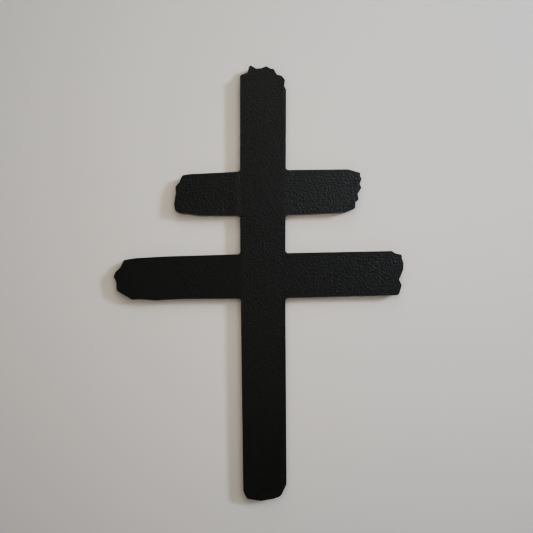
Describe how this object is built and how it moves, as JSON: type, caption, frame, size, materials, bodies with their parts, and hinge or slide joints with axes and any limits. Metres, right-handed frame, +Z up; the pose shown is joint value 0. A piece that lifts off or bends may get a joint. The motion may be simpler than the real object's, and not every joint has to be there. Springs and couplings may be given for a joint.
{
  "type": "wall cross",
  "caption": "Flat double-barred wall cross, cut from painted board, with ends shaped like torn brush strokes; hangs flat on a wall.",
  "frame": {"origin": "on the flat back, where the lower arm crosses the upright", "axes": "+Z up along the upright towards its head, +Y out of the back and into the wall, -Y out of the front"},
  "size_m": [0.2002, 0.01, 0.3007],
  "materials": {
    "black_paint": "wood-based board under matt black paint, rolled on, with a fine stipple and a slight sheen"
  },
  "bodies": {
    "root": {"cross": "black_paint"}
  },
  "joints": []
}
